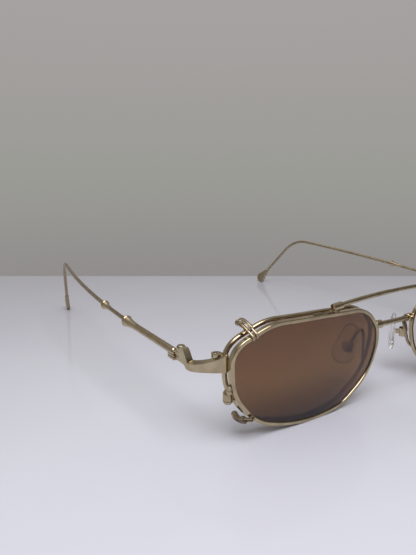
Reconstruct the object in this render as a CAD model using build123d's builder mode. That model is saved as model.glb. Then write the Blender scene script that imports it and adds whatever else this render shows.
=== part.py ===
from build123d import *
from math import sin, cos, tan, acos, sqrt, radians
import os

os.makedirs("parts", exist_ok=True)

# Spectacles with clip-on sunglasses, standing on the rims and the temple tips.
# The front faces -Y, the temples run to +Y, the table is z = 0, x = 0 is the middle plane.
# Right and left are the wearer's: right is -X.

# ---- lenses and rims ----
lens_width = 48.0
lens_height = 27.0
lens_gap = 20.4            # between the two lens shapes, across the nose
front_lean = 2.7           # degrees, the top leans towards the viewer
lens_curve = 200.0         # radius the lenses and rims are bowed to
front_y = -0.85            # the frame's middle surface at table level
groove = 0.25              # how far a lens sits in its rim
frame_rim_width = 1.1      # a nearly round wire
frame_rim_depth = 1.3
frame_inset = 0.05         # the frame's opening is this much larger than the clip's
clip_rim_width = 1.0
clip_rim_depth = 1.5
clip_gap = 1.4             # air between clip rim and frame rim
frame_lens_thick = 0.6
clip_lens_thick = 0.9
frame_rim_edge = 0.45      # rounding of the rims
clip_rim_edge = 0.22

# ---- temples ----
temple_length = 96.0       # hinge to the start of the ear bend
hinge_out = 5.45           # hinge axis outside the rim
hinge_back = 9.75          # hinge axis behind the rim
hinge_up = 20.35
barrel_radius = 1.15
barrel_height = 1.0
barrel_gap = 0.1
pin_radius = 0.5
leaf_width = 1.6           # slotted leaf under the front end of each temple
leaf_length = 3.2
leaf_height = 1.9
running_fit = 0.05
bell_at = 27.0
bead_at = 43.0
bar_radius = 0.95
mid_radius = 0.62
wire_radius = 0.66
bell_radius = 1.65
bead_radius = 1.4
bell_flare = 7.0           # length over which the bar widens into the bell
bead_flare = 5.0
bend_radius = 17.5
bend_angle = 52.5
tip_toe_in = 7.3           # degrees, the tips lean inwards
paddle_length = 10.0
paddle_width = 5.2
paddle_thick = 1.6

# ---- bridge and nose pads ----
bridge_radius = 0.75
bridge_up = 20.65
bridge_bow = 1.3
collar_radius = 1.2
collar_length = 2.4
collar_at = 6.7
pad_height = 12.8
pad_width = 7.2
pad_thick = 1.9
pad_x = 10.9
pad_y = 7.3
pad_up = 13.65
pad_splay = 53.0
pad_tilt = 8.0
pad_arm_radius = 0.45
box_size = 2.6
stem_thick = 0.8
stem_slack = 0.12

# ---- clip ----
bar_wire_radius = 0.62
ferrule_radius = 0.95
ferrule_length = 3.0
ferrule_out = 27.2         # middle of a ferrule from the middle plane
ferrule_clear = 1.7        # ferrule axis above the lens shape's top
brow_rise = 1.7            # middle of the bar above its ends
strut_radius = 0.4
claw_wire = 0.3
claw_spread = 1.1          # between the two legs of a claw
claw_back = 3.6            # behind the clip's middle surface
sleeve_wide = 2.3
sleeve_thick = 1.7
sleeve_air = 0.2           # sleeve to frame rim
upper_rise = 1.1           # how far the upper claws arch away from the rim
lower_rise = 0.35

# ---- small blocks ----
block_radius = 1.2
block_height = 3.8
block_ahead = 0.5          # in front of the rim's middle
block_out = 0.35           # outside the rim's edge
block_split = 0.12
clip_block_radius = 0.62
clip_block_height = 1.9

# Lens shape: corners as (towards the nose, up) in halves of the lens box, and corner radius.
lens_corners = [
    (-0.575, 0.998, 16.0),
    (0.087, 0.972, 40.0),
    (0.755, 0.919, 10.6),
    (1.001, 0.458, 6.9),
    (0.994, 0.130, 9.8),
    (0.908, -0.434, 14.3),
    (0.501, -0.927, 9.0),
    (-0.071, -1.086, 43.7),
    (-0.696, -0.756, 13.4),
    (-0.983, -0.115, 12.9),
    (-1.000, 0.580, 4.7),
    (-0.889, 0.749, 6.5),
]

frame_reach = frame_inset + frame_rim_width
lens_x = (lens_gap + lens_width) / 2
lens_up = lens_height / 2 + frame_reach + 0.07
clip_ahead = frame_rim_depth / 2 + clip_gap + clip_rim_depth / 2
lean_sin = sin(radians(front_lean))
lean_cos = cos(radians(front_lean))
front_normal = Vector(0, -lean_cos, -lean_sin)
round_scale = min(lens_width / 48.0, lens_height / 27.0)


def front_plane(ahead):
    """Plane of the leaning front, `ahead` of the frame's middle surface."""
    origin = Vector(0, front_y, 0) + front_normal * ahead
    return Plane(origin=origin, x_dir=(1, 0, 0), z_dir=front_normal)


def sag(across, up):
    """How far the bowed surface has fallen back at a point of the right lens."""
    off = (across + lens_x) ** 2 + (up - lens_up) ** 2
    return lens_curve - sqrt(lens_curve ** 2 - off)


def front_point(across, up, ahead):
    """A point of the right half, `ahead` of the frame's bowed middle surface."""
    return front_plane(ahead - sag(across, up)).from_local_coords(Vector(across, up, 0))


def outline(grow):
    """The right lens shape, grown outwards."""
    corners = []
    radii = []
    for nose, up, radius in lens_corners:
        corners.append((nose * lens_width / 2 - lens_x, up * lens_height / 2 + lens_up))
        radii.append(radius * round_scale)
    with BuildSketch() as shape:
        with BuildLine():
            FilletPolyline(*corners, radius=radii, close=True)
        make_face()
        if grow > 0:
            offset(amount=grow, mode=Mode.REPLACE)
    return shape.sketch


def edge_spot(grow, up, nose_side):
    """Where the grown lens shape crosses a height, on its nose or its outer side."""
    line = Axis((0, up, 0), (1, 0, 0))
    hits = []
    for piece in outline(grow).edges():
        for spot in piece.find_intersection_points(line):
            hits.append(spot.X)
    if nose_side:
        return max(hits)
    return min(hits)


def bowed(inner, outer, ahead, depth, edge):
    """A ring (or a disc when inner is None) of even depth on the bowed surface."""
    centre = front_plane(ahead - lens_curve).from_local_coords(Vector(-lens_x, lens_up, 0))
    with BuildPart() as ring:
        with BuildSketch(front_plane(ahead)):
            add(outline(outer))
            if inner is not None:
                add(outline(inner), mode=Mode.SUBTRACT)
        extrude(amount=lens_height / 3, both=True)
        with Locations(centre):
            Sphere(lens_curve + depth / 2, mode=Mode.INTERSECT)
            Sphere(lens_curve - depth / 2, mode=Mode.SUBTRACT)
        if edge > 0:
            fillet(ring.edges(), edge)
    return ring.part


def save(piece, label):
    """Write one node."""
    piece.label = label
    export_step(piece, "parts/" + label + ".step")


def whole(piece):
    """The piece itself, without crumbs that a cut has left beside it."""
    return piece.solids().sort_by(SortBy.VOLUME)[-1]


def save_pair(piece, label):
    """Write the right piece and its mirror image on the left."""
    with BuildPart() as twin:
        add(piece)
        mirror(about=Plane.YZ, mode=Mode.REPLACE)
    save(piece, label + "_right")
    save(twin.part, label + "_left")


def save_both(piece, label):
    """Write one node that holds the same small part on both sides."""
    with BuildPart() as pair:
        add(piece)
        mirror(about=Plane.YZ)
    save(pair.part, label)


def less(piece, *others):
    """The piece with the room of the others taken out of it."""
    with BuildPart() as cut:
        add(piece)
        for other in others:
            add(other, mode=Mode.SUBTRACT)
    return whole(cut.part)


def rod(start, end, radius):
    """A straight round rod between two points."""
    run = end - start
    with BuildPart() as piece:
        with BuildSketch(Plane(start, z_dir=run)):
            Circle(radius)
        extrude(amount=run.length)
    return piece.part


# ---- lenses and rims ----
frame_lens = bowed(None, frame_inset + groove, 0, frame_lens_thick, 0)
frame_rim_blank = bowed(frame_inset, frame_reach, 0, frame_rim_depth, frame_rim_edge)
frame_rim = less(frame_rim_blank, frame_lens)
clip_lens = bowed(None, groove, clip_ahead, clip_lens_thick, 0)
clip_rim_blank = bowed(0, clip_rim_width, clip_ahead, clip_rim_depth, clip_rim_edge)
clip_rim = less(clip_rim_blank, clip_lens)
save_pair(frame_lens, "frame_lens")
save_pair(frame_rim, "frame_rim")
save_pair(clip_lens, "clip_lens")
save_pair(clip_rim, "clip_rim")

# ---- end pieces: a strap that leaves the rim in front, runs back and rises to the hinge ----
block_up = lens_up + lens_height * 0.17
rim_x = edge_spot(frame_reach, block_up, False)
rim_y = front_point(rim_x, block_up, 0).Y
hinge_x = rim_x - hinge_out
hinge_y = rim_y + hinge_back
barrel_top = barrel_height * 1.5 + barrel_gap
strap = 1.7
side_x = hinge_x - barrel_radius * 0.95
with BuildPart() as end_piece:
    with BuildSketch():
        with BuildLine():
            front = Line((rim_x + 0.9, rim_y - 1.35), (rim_x + 0.25, rim_y - 1.35))
            side = Spline(
                front @ 1,
                (rim_x - 3.6, rim_y + 0.9),
                (side_x + 0.35, rim_y + 3.4),
                (side_x, rim_y + 5.0),
                tangents=((-1, 0.28), (0, 1)),
            )
            flank = Line(side @ 1, (side_x, hinge_y))
            turn = Line(flank @ 1, (side_x + strap, hinge_y))
            inner = Spline(
                turn @ 1,
                (side_x + strap, rim_y + 5.2),
                (rim_x - 3.6 + strap * 0.5, rim_y + 2.3),
                (rim_x - 0.6, rim_y + 0.9),
                tangents=((0, -1), (1, -0.28)),
            )
            Polyline(inner @ 1, (rim_x + 0.9, rim_y + 0.9), front @ 0)
        make_face()
    extrude(amount=hinge_up + 4)
    with BuildSketch(Plane.XZ):
        with BuildLine():
            foot = Line((rim_x + 1, hinge_up - 2.4), (hinge_x - 3, hinge_up - 2.4))
            rear = Line(foot @ 1, (hinge_x - 3, hinge_up - 0.6))
            brow = Spline(
                rear @ 1,
                (rim_x - 5.0, hinge_up - 0.4),
                (rim_x - 2.5, hinge_up + 0.45),
                (rim_x + 1, hinge_up + 1.9),
            )
            Line(brow @ 1, foot @ 0)
        make_face()
    extrude(amount=hinge_back * 3, both=True, mode=Mode.INTERSECT)
    with BuildSketch(Plane.YZ.offset(hinge_x)):
        with BuildLine():
            Polyline(
                (hinge_y - 4.2, hinge_up - 2.5),
                (hinge_y - 3.2, hinge_up - 1.5),
                (hinge_y + 1, hinge_up - 1.5),
                (hinge_y + 1, hinge_up - 3.5),
                (hinge_y - 4.2, hinge_up - 3.5),
                close=True,
            )
        make_face()
    extrude(amount=3, both=True, mode=Mode.SUBTRACT)
    with BuildSketch(Plane.YZ.offset(side_x)):
        with BuildLine():
            rise = Spline(
                (hinge_y - 4.75, hinge_up - 0.7),
                (hinge_y - 3.7, hinge_up + 0.9),
                (hinge_y - 2.3, hinge_up + 2.1),
                tangents=((0.3, 1), (1, 0.25)),
            )
            Polyline(
                rise @ 1,
                (hinge_y - 1.4, hinge_up + 2.0),
                (hinge_y - 1.0, hinge_up + barrel_top),
                (hinge_y, hinge_up + barrel_top),
                (hinge_y, hinge_up - barrel_top),
                (hinge_y - 2.2, hinge_up - barrel_top),
                (hinge_y - 4.6, hinge_up - 1.9),
                rise @ 0,
            )
        make_face()
    extrude(amount=strap)
    with Locations((hinge_x, hinge_y, hinge_up)):
        Cylinder(barrel_radius + 0.2, barrel_height + barrel_gap * 2, mode=Mode.SUBTRACT)
    for level in (-1, 1):
        with Locations((hinge_x, hinge_y, hinge_up + level * (barrel_height + barrel_gap))):
            Cylinder(barrel_radius, barrel_height)
            Cylinder(pin_radius, barrel_height, mode=Mode.SUBTRACT)
    with Locations((rim_x - 0.5, rim_y + 1.6, hinge_up + 1.2)):
        Cylinder(1.3, 0.9)
    with Locations((rim_x - 0.7, rim_y + 1.9, hinge_up + 1.65)):
        Sphere(0.4, mode=Mode.SUBTRACT)
    add(frame_rim_blank, mode=Mode.SUBTRACT)
    add(frame_lens, mode=Mode.SUBTRACT)
save_pair(whole(end_piece.part), "end_piece")

with BuildPart() as hinge_screw:
    with Locations((hinge_x, hinge_y, hinge_up)):
        Cylinder(pin_radius, barrel_height * 3 + barrel_gap * 2)
    head_z = hinge_up + barrel_height * 1.5 + barrel_gap
    with Locations((hinge_x, hinge_y, head_z + 0.2)):
        Cylinder(barrel_radius * 0.85, 0.4)
        fillet(hinge_screw.edges().group_by(Axis.Z)[-1], 0.15)
        Box(barrel_radius * 2, 0.3, 0.3, mode=Mode.SUBTRACT)
save_both(hinge_screw.part, "hinge_screws")

# ---- closing blocks on the lower outer rims: two halves of a rounded knob and a screw ----
ball_up = lens_up - lens_height * 0.13
ball_x = edge_spot(frame_reach, ball_up, False) - block_out
ball = front_point(ball_x, ball_up, block_ahead)
split_z = ball.Z - block_height * 0.2
with BuildPart() as block:
    with Locations(ball):
        Cylinder(block_radius, block_height)
    fillet(block.edges().filter_by(GeomType.CIRCLE), block_radius * 0.92)
    with Locations(ball):
        Cylinder(0.45, block_height * 2, mode=Mode.SUBTRACT)
    with Locations(Vector(ball.X, ball.Y, split_z)):
        Box(block_radius * 3, block_radius * 3, block_split, mode=Mode.SUBTRACT)
    add(frame_rim_blank, mode=Mode.SUBTRACT)
    add(frame_lens, mode=Mode.SUBTRACT)
block_upper = whole(split(block.part, bisect_by=Plane.XY.offset(split_z), keep=Keep.TOP))
block_lower = whole(split(block.part, bisect_by=Plane.XY.offset(split_z), keep=Keep.BOTTOM))
save_pair(block_upper, "block_upper")
save_pair(block_lower, "block_lower")
with BuildPart() as block_screw:
    with Locations(ball):
        Cylinder(0.45, block_height - 0.1)
    with Locations(ball + Vector(0, 0, block_height / 2 - 0.1)):
        Box(2, 0.2, 0.35, mode=Mode.SUBTRACT)
    add(frame_rim_blank, mode=Mode.SUBTRACT)
    add(frame_lens, mode=Mode.SUBTRACT)
save_both(whole(block_screw.part), "block_screws")

# ---- bridge ----
bridge_x = edge_spot(frame_reach, bridge_up, True)
bridge_end = front_point(bridge_x - 0.5, bridge_up, 0)
bridge_mid = Vector(0, bridge_end.Y - bridge_bow, bridge_end.Z + 0.3)
with BuildPart() as bridge:
    with BuildLine() as bridge_path:
        ThreePointArc(bridge_end, bridge_mid, Vector(-bridge_end.X, bridge_end.Y, bridge_end.Z))
    with BuildSketch(Plane(bridge_path.line @ 0, z_dir=bridge_path.line % 0)):
        Circle(bridge_radius)
    sweep()
    add(frame_rim_blank, mode=Mode.SUBTRACT)
    mirror(about=Plane.YZ, mode=Mode.INTERSECT)
save(bridge.part, "bridge")

collar_t = (-collar_at - bridge_end.X) / (-2 * bridge_end.X)
collar_spot = bridge_path.line @ collar_t
collar_run = bridge_path.line % collar_t
collar_start = collar_spot - collar_run * (collar_length / 2)
collar_end = collar_spot + collar_run * (collar_length / 2)
with BuildPart() as collar:
    add(rod(collar_start, collar_end, collar_radius))
    fillet(collar.edges().filter_by(GeomType.CIRCLE), collar_radius - bridge_radius - 0.12)
    add(rod(collar_start - collar_run, collar_end + collar_run, bridge_radius + running_fit), mode=Mode.SUBTRACT)
save_both(collar.part, "bridge_collars")

# ---- temples (right one; the left one is its mirror image) ----
splay = 0.1387
back_curve = splay / (temple_length + 2)
climb = 0.072
bar_drop = 0.65            # bar's axis below the middle of the hinge


def temple_point(back):
    """The temple's axis, `back` behind the hinge: splayed out, curving in again, climbing."""
    out = splay * back - back_curve * back ** 2
    return Vector(hinge_x - out, hinge_y + back, hinge_up - bar_drop + climb * back)


def knot(spot, run, front_radius, rear_radius, top_radius, length):
    """A collar that flares like a bell and closes with a rounded lip."""
    run = run.normalized()
    side = run.cross(Vector(0, 0, 1)).normalized()
    with BuildPart() as piece:
        with BuildSketch(Plane(spot, x_dir=run, z_dir=side)):
            with BuildLine():
                flare = ThreePointArc(
                    (-length, front_radius),
                    (-length * 0.35, front_radius + (top_radius - front_radius) * 0.3),
                    (0, top_radius - 0.15),
                )
                lip = ThreePointArc(
                    flare @ 1,
                    (top_radius * 0.2, top_radius),
                    (top_radius * 0.4, top_radius - 0.2),
                )
                tail = ThreePointArc(
                    lip @ 1,
                    (top_radius * 0.55, (top_radius + rear_radius) * 0.5),
                    (top_radius * 0.8, rear_radius),
                )
                Polyline(tail @ 1, (top_radius * 0.8, 0), (-length, 0), flare @ 0)
            make_face()
        revolve(axis=Axis(spot, run))
    return piece.part


bell_spot = temple_point(bell_at)
bead_spot = temple_point(bead_at)
bar_start = temple_point(barrel_radius + 1.4)
bell = knot(bell_spot, bell_spot - bar_start, bar_radius, mid_radius + 0.1, bell_radius, bell_flare)
bead = knot(bead_spot, bead_spot - bell_spot, mid_radius, wire_radius + 0.1, bead_radius, bead_flare)
bar = less(rod(bar_start, bell_spot, bar_radius), bell)
mid = less(rod(bell_spot, bead_spot, mid_radius), bell, bead)
with BuildPart() as bar_rounded:
    add(bar)
    fillet(bar_rounded.edges().sort_by(Axis.Y)[0], 0.5)
save_pair(bar_rounded.part, "temple_bar")
save_pair(bell, "temple_bell")
save_pair(mid, "temple_mid")
save_pair(bead, "temple_bead")

leaf_top = hinge_up - barrel_height * 0.3
with BuildPart() as knuckle:
    with Locations((hinge_x, hinge_y, hinge_up)):
        Cylinder(barrel_radius, barrel_height)
    with BuildSketch(Plane.XY.offset(hinge_up - barrel_height / 2)):
        with BuildLine():
            Polyline(
                (hinge_x - 0.8, hinge_y),
                (hinge_x - 1.2, hinge_y + 4.4),
                (hinge_x + 0.3, hinge_y + 4.4),
                (hinge_x + 0.6, hinge_y),
                close=True,
            )
        make_face()
    extrude(amount=barrel_height * 0.7)
    with Locations((hinge_x - 0.45, hinge_y + 3.2, leaf_top - leaf_height / 2)):
        Box(leaf_width, leaf_length, leaf_height)
    for level in (0.3, 0.68):
        with Locations((hinge_x - 0.45 - leaf_width / 2, hinge_y + 3.2, leaf_top - leaf_height * level)):
            Box(leaf_width * 0.8, leaf_length + 1, 0.22, mode=Mode.SUBTRACT)
    with Locations((hinge_x, hinge_y, hinge_up)):
        Cylinder(pin_radius + running_fit, barrel_height, mode=Mode.SUBTRACT)
    add(bar_rounded.part, mode=Mode.SUBTRACT)
save_pair(whole(knuckle.part), "temple_knuckle")

# Wire: from the bead to the ear bend, round the bend and down to the tip.
bend_start = temple_point(temple_length)
ahead_run = (bend_start - temple_point(temple_length - 1)).normalized()
inward = ahead_run.cross(Vector(0, 0, 1)).normalized()
down = ahead_run.cross(inward).normalized() * -1
if down.Z > 0:
    down = down * -1
if inward.X < 0:
    inward = inward * -1
fall = (down * cos(radians(tip_toe_in)) + inward * sin(radians(tip_toe_in))).normalized()


def bend_point(angle):
    turned = radians(angle)
    return bend_start + (ahead_run * sin(turned) + fall * (1 - cos(turned))) * bend_radius


bend_end = bend_point(bend_angle)
drop_run = ahead_run * cos(radians(bend_angle)) + fall * sin(radians(bend_angle))
paddle_normal = ahead_run.cross(fall).normalized()
edge_drop = paddle_width / 2 * sqrt(1 - paddle_normal.Z ** 2)
drop = (bend_end.Z - edge_drop) / -drop_run.Z
paddle_centre = bend_end + drop_run * drop
wire_end = paddle_centre - drop_run * (paddle_length - paddle_width / 2)
bead_run = temple_point(bead_at + 1) - bead_spot
with BuildPart() as wire:
    with BuildLine() as wire_path:
        long_run = Spline(
            bead_spot,
            temple_point((bead_at + temple_length) / 2),
            bend_start,
            tangents=(bead_run, ahead_run),
        )
        round_ear = ThreePointArc(bend_start, bend_point(bend_angle / 2), bend_end)
        Line(bend_end, wire_end)
    with BuildSketch(Plane(bead_spot, z_dir=wire_path.line % 0)):
        Circle(wire_radius)
    sweep()
    add(bead, mode=Mode.SUBTRACT)
with BuildPart() as paddle:
    with BuildSketch(Plane(wire_end, x_dir=drop_run, z_dir=paddle_normal)):
        with Locations((wire_radius * 1.2, 0)):
            Circle(wire_radius * 1.15)
        with Locations((paddle_length - paddle_width / 2, 0)):
            Circle(paddle_width / 2)
        make_hull()
    extrude(amount=paddle_thick / 2, both=True)
    fillet(paddle.edges(), paddle_thick * 0.38)
    add(wire.part, mode=Mode.SUBTRACT)
save_pair(wire.part, "temple_wire")
save_pair(paddle.part, "temple_paddle")

# ---- nose pads: soft pad on a stem, rocking on a screw in a small box ----
pad_centre = Vector(-pad_x, pad_y, pad_up)
splay_angle = radians(pad_splay)
tilt_angle = radians(pad_tilt)
pad_face = Vector(cos(splay_angle), sin(splay_angle), 0)
pad_across = Vector(-sin(splay_angle), cos(splay_angle), 0)
pad_upward = Vector(0, 0, 1) * cos(tilt_angle) - pad_across * sin(tilt_angle)
pad_side = pad_upward.cross(pad_face).normalized()
pad_plane = Plane(pad_centre, x_dir=pad_side, z_dir=pad_face)
pivot = pad_centre - pad_face * (pad_thick / 2 + 1.9)
with BuildPart() as pad:
    with BuildSketch(pad_plane.offset(-pad_thick / 2)):
        with Locations((0, -pad_height / 2 + pad_width * 0.48)):
            Circle(pad_width * 0.48)
        with Locations((-pad_width * 0.1, pad_height / 2 - pad_width * 0.3)):
            Circle(pad_width * 0.3)
        make_hull()
    extrude(amount=pad_thick)
    fillet(pad.edges(), pad_thick * 0.38)
save_pair(pad.part, "nose_pad")
stem_plane = Plane(pivot, x_dir=pad_face, z_dir=pad_side)
with BuildPart() as stem:
    with BuildSketch(stem_plane.offset(-stem_thick / 2)):
        Circle(0.85)
        with Locations((0.95, 0)):
            Rectangle(1.9, 1.3)
        Circle(0.4 + running_fit, mode=Mode.SUBTRACT)
    extrude(amount=stem_thick)
    add(pad.part, mode=Mode.SUBTRACT)
save_pair(stem.part, "pad_stem")
with BuildPart() as box:
    with BuildSketch(stem_plane.offset(-box_size / 2)):
        with Locations((-0.35, 0)):
            Rectangle(2.3, box_size)
    extrude(amount=box_size)
    fillet(box.edges(), 0.25)
    with BuildSketch(stem_plane.offset(-stem_thick / 2 - stem_slack)):
        with Locations((0.6, 0)):
            Rectangle(3.4, box_size + 1)
    extrude(amount=stem_thick + stem_slack * 2, mode=Mode.SUBTRACT)
    with BuildSketch(stem_plane.offset(-box_size)):
        Circle(0.4)
    extrude(amount=box_size * 2, mode=Mode.SUBTRACT)
save_pair(box.part, "pad_box")
with BuildPart() as pad_screw:
    with BuildSketch(stem_plane.offset(-box_size / 2)):
        Circle(0.4)
    extrude(amount=box_size)
    with BuildSketch(stem_plane.offset(box_size / 2)):
        Circle(0.75)
    extrude(amount=0.35)
save_both(pad_screw.part, "pad_screws")
arm_up = lens_up - lens_height * 0.16
arm_foot = front_point(edge_spot(frame_reach, arm_up, True) - 0.35, arm_up, -frame_rim_depth / 2 + 0.3)
arm_end = pivot - pad_face * 1.3 + Vector(0, 0, box_size * 0.1)
arm_rise = arm_foot + Vector(1.5, 1.4, 4.2)
arm_top = Vector(arm_foot.X + 1.8, arm_foot.Y + 2.7, arm_end.Z + 5.1)
with BuildPart() as pad_arm:
    with BuildLine() as arm_path:
        Spline(
            arm_foot,
            arm_rise,
            arm_top,
            arm_end,
            tangents=(Vector(0.7, 1, 0.6), Vector(-0.3, 0.2, -1)),
        )
    with BuildSketch(Plane(arm_foot, z_dir=arm_path.line % 0)):
        Circle(pad_arm_radius)
    sweep()
    add(frame_rim_blank, mode=Mode.SUBTRACT)
    add(box.part, mode=Mode.SUBTRACT)
save_pair(pad_arm.part, "pad_arm")

# ---- clip: brow bar, ferrules and struts ----
ferrule_up = lens_up + lens_height / 2 + ferrule_clear
bar_y = front_point(-ferrule_out, ferrule_up, clip_ahead).Y
bar_z = front_point(-ferrule_out, ferrule_up, clip_ahead).Z
bar_end = ferrule_out + ferrule_length / 2 - 0.2
with BuildPart() as brow_bar:
    with BuildLine() as bar_path:
        ThreePointArc(
            (-bar_end, bar_y, bar_z),
            (0, bar_y - 0.4, bar_z + brow_rise),
            (bar_end, bar_y, bar_z),
        )
    with BuildSketch(Plane(bar_path.line @ 0, z_dir=bar_path.line % 0)):
        Circle(bar_wire_radius)
    sweep()
save(brow_bar.part, "brow_bar")
ferrule_part = (bar_end - ferrule_out) / (2 * bar_end)
ferrule_spot = bar_path.line @ ferrule_part
ferrule_run = bar_path.line % ferrule_part
with BuildPart() as ferrule:
    with BuildSketch(Plane(ferrule_spot, z_dir=ferrule_run).offset(-ferrule_length / 2)):
        Circle(ferrule_radius)
        Circle(bar_wire_radius + running_fit, mode=Mode.SUBTRACT)
    extrude(amount=ferrule_length)
    chamfer(ferrule.edges(), 0.08)
save_pair(ferrule.part, "ferrule")
bar_room = rod(ferrule_spot - ferrule_run * 4, ferrule_spot + ferrule_run * 4, bar_wire_radius + 0.2)
strut_x = -ferrule_out - 7.9
strut_foot = front_point(strut_x, lens_up + lens_height / 2 + clip_rim_width * 0.7, clip_ahead)
strut_head = Vector(-ferrule_out - 1.0, bar_y, ferrule_spot.Z - ferrule_radius)
with BuildPart() as strut:
    with BuildLine() as strut_path:
        Spline(
            strut_foot,
            strut_head + Vector(-3.0, 0, -0.5),
            strut_head + Vector(0.6, 0, 0.1),
            tangents=(Vector(1, 0, 0.1), Vector(1, 0, 0.2)),
        )
    with BuildSketch(Plane(strut_foot, z_dir=strut_path.line % 0)):
        Circle(strut_radius)
    sweep()
    add(ferrule.part, mode=Mode.SUBTRACT)
    add(bar_room, mode=Mode.SUBTRACT)
    add(clip_rim_blank, mode=Mode.SUBTRACT)
save_pair(whole(strut.part), "strut")
leg_foot = front_point(-ferrule_out + 0.2, lens_up + lens_height / 2 * 0.97 + 0.3, clip_ahead)
leg_head = Vector(-ferrule_out + 0.9, bar_y, ferrule_spot.Z - bar_wire_radius - 0.2)
leg_rod = rod(leg_foot, leg_head, strut_radius)
leg = less(leg_rod, ferrule.part, strut.part, bar_room, clip_rim_blank, clip_lens)
save_pair(leg, "strut_leg")

# ---- clip: retaining claws with soft sleeves ----
claw_out = frame_reach + sleeve_air + sleeve_thick / 2


def rim_spot(angle):
    """Point of the right lens shape in a direction from its middle, and the way outwards."""
    found = []
    for turn in (angle - 1, angle, angle + 1):
        ray = Axis((-lens_x, lens_up, 0), (cos(radians(turn)), sin(radians(turn)), 0))
        hits = []
        for piece in outline(0).edges():
            hits.extend(piece.find_intersection_points(ray))
        found.append(max(hits, key=lambda hit: (hit - ray.position).dot(ray.direction)))
    run = (found[2] - found[0]).normalized()
    return found[1], Vector(run.Y, -run.X)


def claw(spot, outwards, rise):
    """Hairpin wire claw: feet over the clip rim's face, legs arching back over the frame rim."""
    across = front_plane(0).x_dir
    upward = front_plane(0).y_dir
    out_dir = across * outwards.X + upward * outwards.Y
    along_dir = across * -outwards.Y + upward * outwards.X
    base = front_point(spot.X, spot.Y, clip_ahead)
    back_dir = front_normal * -1
    half = claw_spread / 2
    ahead = clip_rim_depth / 2 + claw_wire * 0.8
    toe = base - back_dir * ahead + out_dir * 0.15
    heel = base - back_dir * ahead + out_dir * (clip_rim_width + 0.25)
    shoulder = base + back_dir * claw_back * 0.3 + out_dir * (claw_out + rise * 0.6)
    end = base + back_dir * (claw_back + 0.6) + out_dir * (claw_out + rise * 0.8)
    with BuildPart() as hairpin:
        for step in (-half, half):
            shift = along_dir * step
            with BuildLine() as bent:
                leg_line = Line(heel + shift, shoulder + shift)
                TangentArc(leg_line @ 1, end + shift, tangent=leg_line % 1)
            with BuildSketch(Plane(heel + shift, z_dir=leg_line % 0)):
                Circle(claw_wire)
            sweep(path=bent.line)
            add(rod(toe + shift, heel + shift, claw_wire))
            with Locations(heel + shift, end + shift):
                Sphere(claw_wire)
        add(rod(end - along_dir * half, end + along_dir * half, claw_wire))
        add(clip_rim_blank, mode=Mode.SUBTRACT)
    start = heel + (shoulder - heel) * 0.6
    with BuildPart() as sleeve:
        with BuildLine() as soft:
            first = Line(start, shoulder)
            arc = TangentArc(first @ 1, end, tangent=first % 1)
            Line(arc @ 1, arc @ 1 + (arc % 1) * 0.6)
        with BuildSketch(Plane(start, x_dir=along_dir, z_dir=first % 0)):
            SlotOverall(sleeve_wide, sleeve_thick)
        sweep(path=soft.line)
        add(hairpin.part, mode=Mode.SUBTRACT)
    return hairpin.part, sleeve.part


upper_spot, upper_out = rim_spot(149)
lower_spot, lower_out = rim_spot(203.4)
upper_claw, upper_sleeve = claw(upper_spot, upper_out, upper_rise)
lower_claw, lower_sleeve = claw(lower_spot, lower_out, lower_rise)
with BuildPart() as sleeves:
    add(upper_sleeve)
    add(lower_sleeve)
save_pair(upper_claw, "claw_upper")
save_pair(lower_claw, "claw_lower")
save_pair(sleeves.part, "claw_sleeves")

# ---- clip: small closing barrels on the outer edge of the clip rims ----
clip_block_up = lens_up - lens_height * 0.02
clip_block_x = edge_spot(clip_rim_width, clip_block_up, False) - clip_block_radius * 0.7
clip_block_spot = front_point(clip_block_x, clip_block_up, clip_ahead)
with BuildPart() as clip_block:
    with Locations(clip_block_spot):
        Cylinder(clip_block_radius, clip_block_height)
        fillet(clip_block.edges().filter_by(GeomType.CIRCLE), 0.15)
        Cylinder(clip_block_radius + 0.5, 0.12, mode=Mode.SUBTRACT)
    with Locations(clip_block_spot):
        Cylinder(clip_block_radius - 0.12, 0.12)
        Cylinder(0.25, clip_block_height, mode=Mode.SUBTRACT)
    add(clip_rim_blank, mode=Mode.SUBTRACT)
save_pair(clip_block.part, "clip_block")
with BuildPart() as clip_screw:
    with Locations(clip_block_spot):
        Cylinder(0.25, clip_block_height)
    with Locations(clip_block_spot + Vector(0, 0, clip_block_height / 2 + 0.1)):
        Cylinder(0.45, 0.2)
    add(clip_rim_blank, mode=Mode.SUBTRACT)
save_pair(clip_screw.part, "clip_screw")
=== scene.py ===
import math

import bpy
import numpy as np
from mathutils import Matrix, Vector


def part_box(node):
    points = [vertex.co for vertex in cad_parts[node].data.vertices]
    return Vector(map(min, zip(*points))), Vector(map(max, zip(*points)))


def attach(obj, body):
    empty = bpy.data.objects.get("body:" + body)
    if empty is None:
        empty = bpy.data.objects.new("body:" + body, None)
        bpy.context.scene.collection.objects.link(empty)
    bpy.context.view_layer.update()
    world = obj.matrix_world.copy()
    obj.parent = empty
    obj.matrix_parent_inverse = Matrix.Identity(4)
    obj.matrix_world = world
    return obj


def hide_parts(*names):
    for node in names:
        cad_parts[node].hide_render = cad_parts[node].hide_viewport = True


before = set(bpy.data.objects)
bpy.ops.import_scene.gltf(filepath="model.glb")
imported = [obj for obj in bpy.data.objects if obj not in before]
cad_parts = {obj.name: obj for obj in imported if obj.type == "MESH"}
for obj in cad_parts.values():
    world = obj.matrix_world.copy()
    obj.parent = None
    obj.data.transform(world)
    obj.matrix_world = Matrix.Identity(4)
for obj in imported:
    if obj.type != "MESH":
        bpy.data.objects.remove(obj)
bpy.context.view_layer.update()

bl_info = {
    "name": "Spectacles with clip-on sunglasses",
    "version": (1, 0, 0),
    "blender": (4, 5, 0),
    "location": "3D View > Sidebar > Spectacles",
    "description": "Finishes, fine parts and studio for gold metal spectacles with a tinted clip-on",
    "category": "Object",
}

MM = 0.001

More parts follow.
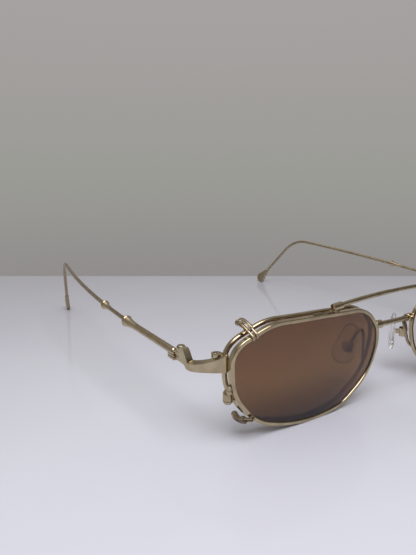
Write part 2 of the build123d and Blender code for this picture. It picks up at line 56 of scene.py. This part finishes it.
# Right claws, in millimetres: where a sleeve starts, where its bend starts and ends, and its flat direction.
SLEEVE_PATHS = {
    "upper": (
        (-53.852, -3.516, 27.915),
        (-54.114, -2.717, 28.541),
        (-54.204, 0.390, 28.889),
        (-0.913, 0.019, -0.407),
    ),
    "lower": (
        (-53.983, -2.643, 5.316),
        (-54.314, -1.801, 5.030),
        (-54.364, 1.318, 5.127),
        (0.701, 0.034, -0.712),
    ),
}

PAD_SPLAY = 53.0           # degrees that a pad's face is turned from the middle plane's normal
PAD_TILT = 8.0             # degrees that its top leans in
BROW_HALF_CHORD = 28.5     # from the middle of the brow bar to its end, across

CAMERA_PLACE = (-0.1171, -0.0879, 0.06255)
CAMERA_TURN = 31.63        # degrees to the right of straight ahead
CAMERA_DIP = 12.03         # degrees below the horizon
CAMERA_LENS = 483.6 * 36.0 / 555
TABLE_HALF_WIDTH = 2.2
TABLE_LENGTH = 3.0
TABLE_THICK = 0.03


# ---------------------------------------------------------------- small tools


def linear(hex_colour, alpha=1.0):
    """sRGB hex value to the linear colour that shaders take."""
    values = [int(hex_colour[i:i + 2], 16) / 255 for i in (1, 3, 5)]
    return tuple(v / 12.92 if v <= 0.04045 else ((v + 0.055) / 1.055) ** 2.4 for v in values) + (alpha,)


def node(tree, kind, settings=None, inputs=None, links=None):
    """Adds a shader node: settings are its properties, inputs its values, links its incoming sockets."""
    made = tree.nodes.new(kind)
    for name, value in (settings or {}).items():
        setattr(made, name, value)
    for name, value in (inputs or {}).items():
        made.inputs[name].default_value = value
    for name, socket in (links or {}).items():
        tree.links.new(socket, made.inputs[name])
    return made


def ramp(tree, factor, stops):
    """Colour ramp fed by a factor; stops are (position, colour) pairs."""
    made = node(tree, "ShaderNodeValToRGB", links={"Fac": factor})
    while len(made.color_ramp.elements) < len(stops):
        made.color_ramp.elements.new(0.5)
    for element, (position, colour) in zip(made.color_ramp.elements, stops):
        element.position = position
        element.color = colour if len(colour) == 4 else tuple(colour) + (1.0,)
    return made


def blank_material(name):
    """A material with a principled shader wired to its output."""
    material = bpy.data.materials.new(name)
    material.use_nodes = True
    tree = material.node_tree
    tree.nodes.clear()
    output = node(tree, "ShaderNodeOutputMaterial")
    shader = node(tree, "ShaderNodeBsdfPrincipled")
    tree.links.new(shader.outputs["BSDF"], output.inputs["Surface"])
    return material, tree, shader


# ---------------------------------------------------------------- finishes


def champagne_plate(name, colour, smooth, coarse, grain_mm, depth_mm):
    """Light gold ion plating over polished titanium.

    Warm pale metal, with soft blotches of gloss 3 mm across and a hairline left by the polishing wheel.
    """
    material, tree, shader = blank_material(name)
    place = node(tree, "ShaderNodeTexCoord")
    clouds = node(tree, "ShaderNodeTexNoise",
                  inputs={"Scale": 1 / (3.0 * MM), "Detail": 3.0, "Roughness": 0.55},
                  links={"Vector": place.outputs["Object"]})
    tint = ramp(tree, clouds.outputs["Fac"],
                [(0.25, linear(colour[0])), (0.55, linear(colour[1])), (0.8, linear(colour[2]))])
    gloss = node(tree, "ShaderNodeMapRange",
                 inputs={"From Min": 0.3, "From Max": 0.7, "To Min": smooth, "To Max": coarse},
                 links={"Value": clouds.outputs["Fac"]})
    hairline = node(tree, "ShaderNodeTexNoise", inputs={"Scale": 1 / (grain_mm * MM), "Detail": 2.0},
                    links={"Vector": place.outputs["Object"]})
    dents = node(tree, "ShaderNodeBump", inputs={"Strength": 0.25, "Distance": depth_mm * MM},
                 links={"Height": hairline.outputs["Fac"]})
    tree.links.new(tint.outputs["Color"], shader.inputs["Base Color"])
    tree.links.new(gloss.outputs["Result"], shader.inputs["Roughness"])
    tree.links.new(dents.outputs["Normal"], shader.inputs["Normal"])
    shader.inputs["Metallic"].default_value = 1.0
    return material


def polished_gold():
    """Plated and buffed titanium of rims, bars and end pieces: mirrors its surroundings a little softly."""
    shades = ("#A59678", "#B9A98A", "#C8BA9C")
    return champagne_plate("champagne_gold_polished", shades, 0.08, 0.18, 0.12, 0.002)


def satin_gold():
    """Plated drawn wire, which was only tumbled: duller, with broader highlights."""
    shades = ("#9A8A70", "#AA9A80", "#B8AA90")
    return champagne_plate("champagne_gold_drawn_wire", shades, 0.16, 0.28, 0.10, 0.004)


def screw_steel():
    """Plated steel of the small screws: a touch greyer than the frame."""
    shades = ("#9D9280", "#B0A690", "#BDB4A2")
    return champagne_plate("plated_screw_steel", shades, 0.18, 0.3, 0.08, 0.003)


def brown_lens():
    """Brown dyed plastic sun lens: clear and glossy, darker towards its lower edge."""
    material, tree, shader = blank_material("brown_sun_lens")
    place = node(tree, "ShaderNodeTexCoord")
    split = node(tree, "ShaderNodeSeparateXYZ", links={"Vector": place.outputs["Object"]})
    height = node(tree, "ShaderNodeMapRange", inputs={"From Min": 0.0, "From Max": 0.028},
                  links={"Value": split.outputs["Z"]})
    tint = ramp(tree, height.outputs["Result"],
                [(0.0, linear("#5C3C2C")), (0.5, linear("#86603A")), (1.0, linear("#7E5638"))])
    tree.links.new(tint.outputs["Color"], shader.inputs["Base Color"])
    shader.inputs["Roughness"].default_value = 0.0
    shader.inputs["IOR"].default_value = 1.5
    shader.inputs["Transmission Weight"].default_value = 1.0
    return material


def clear_lens():
    """Clear plastic demonstration lens: colourless with a faint grey edge."""
    material, tree, shader = blank_material("clear_plastic_lens")
    place = node(tree, "ShaderNodeTexCoord")
    haze = node(tree, "ShaderNodeTexNoise", inputs={"Scale": 1 / (8 * MM), "Detail": 2.0},
                links={"Vector": place.outputs["Object"]})
    tint = ramp(tree, haze.outputs["Fac"], [(0.3, linear("#F4F5F3")), (0.7, linear("#FBFBFA"))])
    tree.links.new(tint.outputs["Color"], shader.inputs["Base Color"])
    shader.inputs["Roughness"].default_value = 0.0
    shader.inputs["IOR"].default_value = 1.5
    shader.inputs["Transmission Weight"].default_value = 1.0
    return material


def clear_soft(name, colour, rough):
    """Clear soft plastic, a little milky, with a fine moulded skin."""
    material, tree, shader = blank_material(name)
    place = node(tree, "ShaderNodeTexCoord")
    cloud = node(tree, "ShaderNodeTexNoise", inputs={"Scale": 1 / (1.5 * MM), "Detail": 3.0},
                 links={"Vector": place.outputs["Object"]})
    tint = ramp(tree, cloud.outputs["Fac"], [(0.3, linear(colour[0])), (0.7, linear(colour[1]))])
    skin = node(tree, "ShaderNodeTexNoise", inputs={"Scale": 1 / (0.15 * MM), "Detail": 2.0},
                links={"Vector": place.outputs["Object"]})
    dents = node(tree, "ShaderNodeBump", inputs={"Strength": 0.3, "Distance": 0.01 * MM},
                 links={"Height": skin.outputs["Fac"]})
    tree.links.new(tint.outputs["Color"], shader.inputs["Base Color"])
    tree.links.new(dents.outputs["Normal"], shader.inputs["Normal"])
    shader.inputs["Roughness"].default_value = rough
    shader.inputs["IOR"].default_value = 1.41
    shader.inputs["Transmission Weight"].default_value = 0.96
    return material


def silicone():
    """Nose pads: clear silicone."""
    return clear_soft("clear_silicone_pad", ("#F1EFEA", "#F8F7F4"), 0.1)


def vinyl():
    """Claw sleeves: clear vinyl gone a little yellow."""
    return clear_soft("clear_vinyl_sleeve", ("#D9CDB4", "#E6DDC8"), 0.12)


def white_table():
    """Polished white table top: pale, cool, with a soft mirror image of what stands on it."""
    material, tree, shader = blank_material("polished_white_table")
    place = node(tree, "ShaderNodeTexCoord")
    cloud = node(tree, "ShaderNodeTexNoise", inputs={"Scale": 1 / (90 * MM), "Detail": 2.0},
                 links={"Vector": place.outputs["Object"]})
    tint = ramp(tree, cloud.outputs["Fac"], [(0.3, linear("#C1C1C8")), (0.7, linear("#C6C7CC"))])
    tree.links.new(tint.outputs["Color"], shader.inputs["Base Color"])
    shader.inputs["Roughness"].default_value = 0.09
    shader.inputs["IOR"].default_value = 1.45
    return material


# ---------------------------------------------------------------- operators


def surface(name, rings, material, body, nodes):
    """A closed skin from a grid of points (along, round, xyz), in place of some CAD nodes.

    The first and the last ring shrink to one point each, and the faces are turned outwards by the sign of the
    volume they enclose.
    """
    rows, columns = rings.shape[0] - 2, rings.shape[1]
    start, end = rings[0].mean(axis=0), rings[-1].mean(axis=0)
    points = np.vstack([start[None], rings[1:-1].reshape(-1, 3), end[None]])
    ring = 1 + np.arange(rows)[:, None] * columns + np.arange(columns)[None, :]
    beside = np.roll(ring, -1, axis=1)
    quads = np.stack([ring[:-1], beside[:-1], beside[1:], ring[1:]], axis=-1).reshape(-1, 4)
    first = np.stack([np.zeros(columns, int), beside[0], ring[0]], axis=-1)
    last = np.stack([np.full(columns, len(points) - 1), ring[-1], beside[-1]], axis=-1)
    triangles = np.vstack([quads[:, [0, 1, 2]], quads[:, [0, 2, 3]], first, last])
    corners = points[triangles]
    volume = np.einsum("ij,ij->i", corners[:, 0], np.cross(corners[:, 1], corners[:, 2])).sum()
    if volume < 0:
        quads, first, last = quads[:, ::-1], first[:, ::-1], last[:, ::-1]
    mesh = bpy.data.meshes.new(name)
    mesh.from_pydata(points.tolist(), [], quads.tolist() + first.tolist() + last.tolist())
    mesh.polygons.foreach_set("use_smooth", np.ones(len(mesh.polygons), dtype=bool))
    mesh.update()
    mesh.materials.append(material)
    piece = bpy.data.objects.new(name, mesh)
    bpy.context.scene.collection.objects.link(piece)
    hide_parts(*nodes)
    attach(piece, body)
    return piece


def unit(vector):
    return vector / np.linalg.norm(vector)


def mirrored(rings):
    """The same skin on the other side of the middle plane."""
    return rings * np.array([-1.0, 1.0, 1.0])


# ---------------------------------------------------------------- soft parts and the brow bar


def pad_rings(sizes):
    """Skin of the right nose pad, a drop-shaped cushion of even thickness with a round edge.

    Its outline has a support height h in each direction n: the mean of those of a large low circle and a small
    high one, weighted by exp(k h), so that p = h n + h' t runs smoothly round both. Across the thickness, that
    outline shrinks by cos(v)^0.42 while the face rises by sin(v)^0.85, and the pad bends back towards its two
    ends by the square of the height.
    """
    length, width, thick = (value / MM for value in (sizes.pad_height, sizes.pad_width, sizes.pad_thick))
    splay, tilt = math.radians(PAD_SPLAY), math.radians(PAD_TILT)
    face = np.array([math.cos(splay), math.sin(splay), 0.0])
    across = np.array([-math.sin(splay), math.cos(splay), 0.0])
    upward = np.array([0.0, 0.0, 1.0]) * math.cos(tilt) - across * math.sin(tilt)
    side = unit(np.cross(upward, face))
    low, high = np.array(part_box("nose_pad_right")) / MM
    centre = (low + high) / 2
    turn = np.linspace(0, 2 * math.pi, 96, endpoint=False)
    normal = np.stack([np.cos(turn), np.sin(turn)], axis=-1)
    tangent = np.stack([-np.sin(turn), np.cos(turn)], axis=-1)
    spots = np.array([[0.0, -length / 2 + width * 0.48], [-width * 0.1, length / 2 - width * 0.3]])
    radii = np.array([width * 0.47, width * 0.29])
    heights = normal @ spots.T + radii
    sharp = 2.2
    weight = np.exp(sharp * (heights - heights.max(axis=1, keepdims=True)))
    weight /= weight.sum(axis=1, keepdims=True)
    reach = (weight * heights).sum(axis=1, keepdims=True)
    outline = reach * normal + (weight * (tangent @ spots.T)).sum(axis=1, keepdims=True) * tangent
    rise = np.linspace(-math.pi / 2, math.pi / 2, 41)
    shrink = np.abs(np.cos(rise)) ** 0.42
    lift = np.sign(np.sin(rise)) * np.abs(np.sin(rise)) ** 0.85 * thick / 2
    flat = shrink[:, None, None] * outline[None]
    out = lift[:, None] - 0.35 * (flat[..., 1] / (length / 2)) ** 2 + 0.1
    return (centre + flat[..., :1] * side + flat[..., 1:] * upward + out[..., None] * face) * MM


def sleeve_rings(start, shoulder, end, along, wide, thick):
    """Skin of a claw sleeve: a flat-round profile carried along a run, an arc and a short straight end.

    The profile is (a cos(t)^0.75, b sin(t)^0.9). The arc leaves the run without a kink, turns through
    2 atan(c.n / c.t) with the radius |c|^2 / (2 c.n), where c is the chord, t the run and n its normal in the
    plane of the bend. Both ends close like a pillow: the profile shrinks by the square root of 1 - u^2.
    """
    start, shoulder, end = (np.array(value) for value in (start, shoulder, end))
    along = unit(np.array(along))
    run = unit(shoulder - start)
    chord = end - shoulder
    bend = unit(chord - chord @ run * run)
    radius = chord @ chord / (2 * (chord @ bend))
    angle = 2 * math.atan2(chord @ bend, chord @ run)
    first, second, third = np.linalg.norm(shoulder - start), radius * angle, 0.6
    total = first + second + third
    ease = (1 - np.cos(np.linspace(0, math.pi, 61))) / 2
    way = ease * total
    turned = np.clip((way - first) / radius, 0, angle)[:, None]
    tail = np.clip(way - first - second, 0, None)[:, None]
    head = np.clip(way, 0, first)[:, None]
    heading = np.cos(turned) * run + np.sin(turned) * bend
    swung = radius * (np.sin(turned) * run + (1 - np.cos(turned)) * bend)
    spine = start + head * run + swung + tail * heading
    upright = np.cross(heading, along)
    pillow = 0.55
    near = np.clip(np.minimum(way, total - way) / pillow, 0, 1)
    close = np.sqrt(np.clip(1 - (1 - near) ** 2, 0, 1))
    swell = (0.97 + 0.03 * np.sin(way * 2.4)) * (0.35 + 0.65 * close) * (close > 0)
    around = np.linspace(0, 2 * math.pi, 48, endpoint=False)
    flat = np.sign(np.cos(around)) * np.abs(np.cos(around)) ** 0.75 * wide / 2
    tall = np.sign(np.sin(around)) * np.abs(np.sin(around)) ** 0.9 * thick / 2
    section = flat[None, :, None] * along + tall[None, :, None] * upright[:, None, :]
    return (spine[:, None, :] + swell[:, None, None] * section) * MM


def brow_rings(sizes):
    """Skin of the brow bar: a round wire on an arc, with a fine engraved lattice over its middle.

    The arc passes through both ends and the raised middle: radius (c^2 + s^2) / 2s, half chord c and rise s.
    The engraving sinks the wire by depth x (1 - cos(k x + 2 t) cos(k x - 2 t)) / 2 and fades out over 1.5 mm.
    """
    low, high = np.array(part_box("brow_bar")) / MM
    radius = sizes.brow_bar_radius / MM
    half = BROW_HALF_CHORD
    ends = np.array([0.0, high[1] - radius, low[2] + radius + 0.02])
    middle = np.array([0.0, low[1] + radius, high[2] - radius])
    lift = middle - ends
    rise = np.linalg.norm(lift)
    up = lift / rise
    bow = (half ** 2 + rise ** 2) / (2 * rise)
    sideways = np.array([1.0, 0.0, 0.0])
    edge = np.cross(sideways, up)
    swing = np.linspace(-math.asin(half / bow), math.asin(half / bow), 700)
    swing = np.concatenate([swing[:1], swing, swing[-1:]])[:, None, None]
    around = np.linspace(0, 2 * math.pi, 40, endpoint=False)[None, :, None]
    outwards = np.cos(swing) * up + np.sin(swing) * sideways
    place = bow * np.sin(swing)[..., 0]
    fade = np.clip((sizes.engraved_length / MM / 2 - np.abs(place)) / 1.5, 0, 1)
    pitch = 2 * math.pi / (sizes.engraving_pitch / MM)
    twist = 2 * around[..., 0]
    lattice = (1 - np.cos(pitch * place + twist) * np.cos(pitch * place - twist)) / 2
    depth = sizes.engraving_depth / MM
    thickness = radius - depth * fade * lattice
    thickness[[0, -1]] = 0
    ring = np.cos(around) * outwards + np.sin(around) * edge
    return (middle - bow * up + bow * outwards + thickness[..., None] * ring) * MM


def dress(names, material):
    """Gives CAD nodes a finish."""
    for name in names:
        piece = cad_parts[name]
        piece.data.materials.clear()
        piece.data.materials.append(material)


def pair(*stems):
    """Names of the right and the left node of each stem."""
    return [stem + side for stem in stems for side in ("_right", "_left")]


# ---------------------------------------------------------------- stage


def table_top(below_camera, level, depth):
    """A slab whose straight far edge crosses the view at a distance from the camera."""
    across = Vector((level.y, -level.x, 0))
    far = below_camera + level * depth
    near = far - level * TABLE_LENGTH
    side = across * TABLE_HALF_WIDTH
    corners = [far - side, far + side, near + side, near - side]
    top = [tuple(c) for c in corners]
    low = [(c.x, c.y, -TABLE_THICK) for c in corners]
    faces = [(3, 2, 1, 0), (4, 5, 6, 7)] + [(i, (i + 1) % 4, (i + 1) % 4 + 4, i + 4) for i in range(4)]
    mesh = bpy.data.meshes.new("table")
    mesh.from_pydata(top + low, [], faces)
    mesh.materials.append(white_table())
    table = bpy.data.objects.new("table", mesh)
    bpy.context.scene.collection.objects.link(table)
    return table


def soft_box(name, place, target, size, power, colour):
    """A large soft square lamp aimed at a point."""
    lamp = bpy.data.lights.new(name, "AREA")
    lamp.shape = "RECTANGLE"
    lamp.size, lamp.size_y = size, size
    lamp.energy = power
    lamp.color = linear(colour)[:3]
    holder = bpy.data.objects.new(name, lamp)
    holder.location = place
    holder.rotation_euler = (Vector(target) - Vector(place)).to_track_quat("-Z", "Y").to_euler()
    bpy.context.scene.collection.objects.link(holder)


def room(wall_colour):
    """Surroundings: a grey wall behind, paler higher up, and a dimmer room in front."""
    world = bpy.data.worlds.new("room")
    world.use_nodes = True
    tree = world.node_tree
    tree.nodes.clear()
    output = node(tree, "ShaderNodeOutputWorld")
    place = node(tree, "ShaderNodeTexCoord")
    split = node(tree, "ShaderNodeSeparateXYZ", links={"Vector": place.outputs["Generated"]})
    level_up = node(tree, "ShaderNodeMapRange", inputs={"From Min": -0.25, "From Max": 1.0},
                    links={"Value": split.outputs["Z"]})
    wall = ramp(tree, level_up.outputs["Result"],
                [(0.04, linear("#908D8C")), (0.20, wall_colour), (0.45, linear("#A7A2A2")),
                 (0.62, linear("#8C8886")), (0.80, linear("#B8B6B4")), (1.0, linear("#7A7674"))])
    front = node(tree, "ShaderNodeMapRange",
                 inputs={"From Min": -0.7, "From Max": 0.3, "To Min": 0.4, "To Max": 1.0},
                 links={"Value": split.outputs["Y"]})
    back = node(tree, "ShaderNodeBackground",
                links={"Color": wall.outputs["Color"], "Strength": front.outputs["Result"]})
    tree.links.new(back.outputs["Background"], output.inputs["Surface"])
    return world


# ---------------------------------------------------------------- add-on


class SpectacleSizes(bpy.types.PropertyGroup):
    """Sizes a user would change."""

    pad_height: bpy.props.FloatProperty(
        name="Pad height", description="Nose pad, top to bottom", default=0.0128, unit="LENGTH")
    pad_width: bpy.props.FloatProperty(
        name="Pad width", description="Nose pad at its widest", default=0.0072, unit="LENGTH")
    pad_thick: bpy.props.FloatProperty(
        name="Pad thickness", description="Nose pad, front to back", default=0.0019, unit="LENGTH")
    sleeve_wide: bpy.props.FloatProperty(
        name="Sleeve width", description="Claw sleeve across both wires", default=0.0023, unit="LENGTH")
    sleeve_thick: bpy.props.FloatProperty(
        name="Sleeve thickness", description="Claw sleeve across one wire", default=0.0017, unit="LENGTH")
    brow_bar_radius: bpy.props.FloatProperty(
        name="Brow bar radius", description="Radius of the brow bar's wire", default=0.00062, unit="LENGTH")
    engraved_length: bpy.props.FloatProperty(
        name="Engraved length", description="Engraved middle of the brow bar", default=0.017, unit="LENGTH")
    engraving_pitch: bpy.props.FloatProperty(
        name="Engraving pitch", description="From one cut to the next", default=0.0016, unit="LENGTH")
    engraving_depth: bpy.props.FloatProperty(
        name="Engraving depth", description="Depth of the cuts", default=0.00013, unit="LENGTH")
    table_depth: bpy.props.FloatProperty(
        name="Table depth", description="From the camera to the table's far edge", default=0.298,
        unit="LENGTH")


class SpectacleColours(bpy.types.PropertyGroup):
    """Colours a user would change."""

    wall: bpy.props.FloatVectorProperty(
        name="Wall", description="Colour of the room behind the table", default=linear("#9B9B96")[:3],
        subtype="COLOR", size=3, min=0, max=1)


class SPECTACLES_OT_metal(bpy.types.Operator):
    """Finishes all metal parts of the frame and the clip."""

    bl_idname = "spectacles.metal"
    bl_label = "Metal parts"

    def execute(self, context):
        shiny = polished_gold()
        drawn = satin_gold()
        screws = screw_steel()
        dress(pair("frame_rim", "clip_rim", "end_piece", "block_upper", "block_lower", "temple_bar",
                   "temple_bell", "temple_bead", "temple_knuckle", "clip_block", "ferrule", "pad_box",
                   "pad_stem"), shiny)
        dress(["bridge", "bridge_collars"], shiny)
        dress(pair("temple_mid", "temple_wire", "temple_paddle", "pad_arm", "strut", "strut_leg",
                   "claw_upper", "claw_lower"), drawn)
        dress(["hinge_screws", "block_screws", "pad_screws"] + pair("clip_screw"), screws)
        return {"FINISHED"}


class SPECTACLES_OT_brow(bpy.types.Operator):
    """Makes the engraved brow bar of the clip."""

    bl_idname = "spectacles.brow"
    bl_label = "Engraved brow bar"

    def execute(self, context):
        rings = brow_rings(context.scene.spectacle_sizes)
        surface("engraved_brow_bar", rings, polished_gold(), "clip_bar", ["brow_bar"])
        return {"FINISHED"}


class SPECTACLES_OT_lenses(bpy.types.Operator):
    """Finishes the tinted and the clear lenses."""

    bl_idname = "spectacles.lenses"
    bl_label = "Lenses"

    def execute(self, context):
        dress(pair("clip_lens"), brown_lens())
        dress(pair("frame_lens"), clear_lens())
        return {"FINISHED"}


class SPECTACLES_OT_pads(bpy.types.Operator):
    """Makes the two soft nose pads."""

    bl_idname = "spectacles.pads"
    bl_label = "Nose pads"

    def execute(self, context):
        skin = silicone()
        rings = pad_rings(context.scene.spectacle_sizes)
        surface("soft_pad_right", rings, skin, "pad_right", ["nose_pad_right"])
        surface("soft_pad_left", mirrored(rings), skin, "pad_left", ["nose_pad_left"])
        return {"FINISHED"}


class SPECTACLES_OT_sleeves(bpy.types.Operator):
    """Makes the four soft sleeves on the clip's claws."""

    bl_idname = "spectacles.sleeves"
    bl_label = "Claw sleeves"

    def execute(self, context):
        sizes = context.scene.spectacle_sizes
        skin = vinyl()
        for level, path in SLEEVE_PATHS.items():
            rings = sleeve_rings(*path, sizes.sleeve_wide / MM, sizes.sleeve_thick / MM)
            for side, form in (("right", rings), ("left", mirrored(rings))):
                surface("soft_sleeve_" + level + "_" + side, form, skin, "clip_" + side,
                        ["claw_sleeves_" + side])
        return {"FINISHED"}


class SPECTACLES_OT_stage(bpy.types.Operator):
    """Builds the table, the light and the camera."""

    bl_idname = "spectacles.stage"
    bl_label = "Table, light and camera"

    def execute(self, context):
        scene = context.scene
        eye = Vector(CAMERA_PLACE)
        turn, dip = math.radians(CAMERA_TURN), math.radians(CAMERA_DIP)
        ahead = Vector((math.sin(turn) * math.cos(dip), math.cos(turn) * math.cos(dip), -math.sin(dip)))
        camera_data = bpy.data.cameras.new("camera")
        camera = bpy.data.objects.new("camera", camera_data)
        scene.collection.objects.link(camera)
        camera.location = eye
        camera.rotation_euler = ahead.to_track_quat("-Z", "Y").to_euler()
        camera_data.sensor_width = 36.0
        camera_data.lens = CAMERA_LENS
        camera_data.clip_start = 0.005
        scene.camera = camera

        level = Vector((math.sin(turn), math.cos(turn), 0))
        table_top(Vector((eye.x, eye.y, 0)), level, scene.spectacle_sizes.table_depth)
        soft_box("ceiling_light", (-0.1, 0.25, 0.8), (-0.05, 0.05, 0), 0.7, 1.2, "#FFFFFF")
        soft_box("near_light", (-0.10, -0.10, 0.27), (-0.09, -0.04, 0), 0.22, 1.0, "#F8F8FF")
        scene.world = room(tuple(scene.spectacle_colours.wall) + (1.0,))
        scene.view_settings.view_transform = "Standard"
        return {"FINISHED"}


class SPECTACLES_PT_panel(bpy.types.Panel):
    """Lists the steps in the sidebar."""

    bl_label = "Spectacles"
    bl_idname = "SPECTACLES_PT_panel"
    bl_space_type = "VIEW_3D"
    bl_region_type = "UI"
    bl_category = "Spectacles"

    def draw(self, context):
        column = self.layout.column()
        for operator in OPERATORS:
            column.operator(operator.bl_idname)
        column.prop(context.scene.spectacle_sizes, "table_depth")
        column.prop(context.scene.spectacle_colours, "wall")


OPERATORS = (SPECTACLES_OT_metal, SPECTACLES_OT_brow, SPECTACLES_OT_lenses, SPECTACLES_OT_pads,
             SPECTACLES_OT_sleeves, SPECTACLES_OT_stage)
CLASSES = (SpectacleSizes, SpectacleColours) + OPERATORS + (SPECTACLES_PT_panel,)


def register():
    for cls in CLASSES:
        bpy.utils.register_class(cls)
    bpy.types.Scene.spectacle_sizes = bpy.props.PointerProperty(type=SpectacleSizes)
    bpy.types.Scene.spectacle_colours = bpy.props.PointerProperty(type=SpectacleColours)


def unregister():
    del bpy.types.Scene.spectacle_colours
    del bpy.types.Scene.spectacle_sizes
    for cls in reversed(CLASSES):
        bpy.utils.unregister_class(cls)


def main():
    """Builds everything in order."""
    register()
    bpy.ops.spectacles.metal()
    bpy.ops.spectacles.brow()
    bpy.ops.spectacles.lenses()
    bpy.ops.spectacles.pads()
    bpy.ops.spectacles.sleeves()
    bpy.ops.spectacles.stage()


if __name__ == "__main__":
    main()
